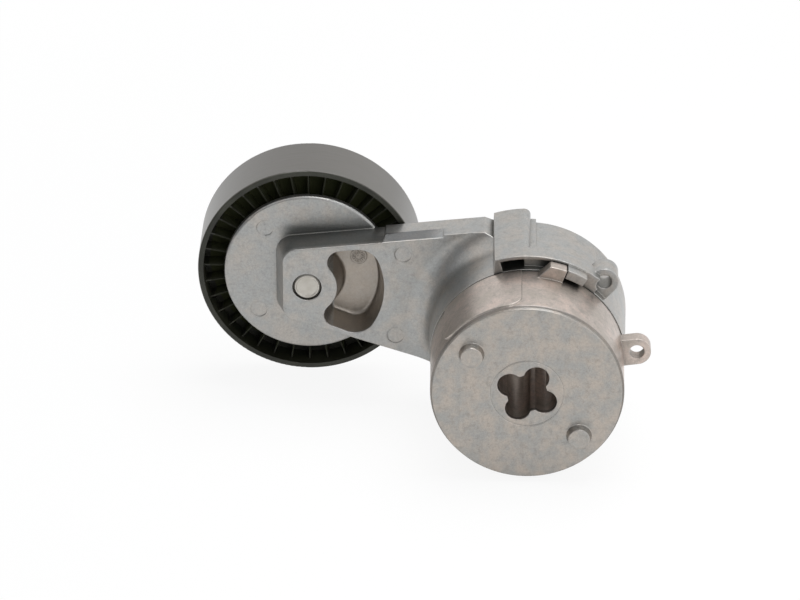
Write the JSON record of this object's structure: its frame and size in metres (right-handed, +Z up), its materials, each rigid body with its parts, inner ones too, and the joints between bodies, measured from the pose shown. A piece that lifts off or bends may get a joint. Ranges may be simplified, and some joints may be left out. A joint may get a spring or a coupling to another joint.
{
  "type": "automatic belt tensioner",
  "caption": "Spring-loaded belt tensioner: a die-cast case bolts down and a sprung arm carries a smooth black idler pulley.",
  "frame": {"origin": "centre of the mounting face, on the arm's pivot axis", "axes": "+Y along the pivot axis, from the mounting face into the object; -Y is the mounting face's outward side; +Z up; the pulley hangs on the arm towards -X"},
  "size_m": [0.1556, 0.0902, 0.0856],
  "materials": {
    "case_casting": "as-cast, fine mottled grain",
    "arm_casting": "as-cast, fine mottled grain",
    "pulley_plastic": "moulded glass-filled nylon with a belt-polished rim",
    "bearing_steel": "ground steel",
    "zinc_steel": "zinc-plated steel",
    "spring_steel": "oiled spring steel",
    "bush_plastic": "moulded bearing polymer",
    "seal_rubber": "moulded nitrile"
  },
  "bodies": {
    "case": {"base_housing": "case_casting", "torsion_spring": "spring_steel", "front_spring_seat": "bush_plastic", "thrust_washer": "bush_plastic", "retaining_plate": "zinc_steel"},
    "arm": {"arm_casting": "arm_casting", "pivot_bush": "bush_plastic", "spring_sleeve": "bush_plastic", "back_spring_seat": "bush_plastic", "damping_shoe": "bush_plastic", "damping_leaf": "spring_steel", "seal_ring": "seal_rubber", "pulley_bolt": "zinc_steel", "pulley_spacer": "zinc_steel", "rear_dust_cover": "zinc_steel", "bearing_inner_ring": "bearing_steel"},
    "pulley": {"pulley_wheel": "pulley_plastic", "bearing_outer_ring": "bearing_steel", "front_bearing_seal": "seal_rubber", "rear_bearing_seal": "seal_rubber"},
    "ball_set": {"bearing_cage": "bearing_steel", "bearing_balls": "bearing_steel"}
  },
  "joints": [
    {"name": "arm_pivot", "type": "hinge", "parent": "case", "child": "arm", "pos_m": [0, 0, 0], "axis": [0, 1, 0], "range_deg": [0, 41.5], "stiffness_Nm_per_rad": 12, "springref_deg": -34.38},
    {"name": "pulley_spin", "type": "hinge", "parent": "arm", "child": "pulley", "pos_m": [-0.07563, 0.07255, 0.01334], "axis": [0, 1, 0], "continuous": true},
    {"name": "ball_set_spin", "type": "hinge", "parent": "arm", "child": "ball_set", "pos_m": [-0.07563, 0.07255, 0.01334], "axis": [0, 1, 0], "continuous": true}
  ],
  "couplings": [
    {"joint": "ball_set_spin", "follows": "pulley_spin", "ratio": 0.6184}
  ]
}
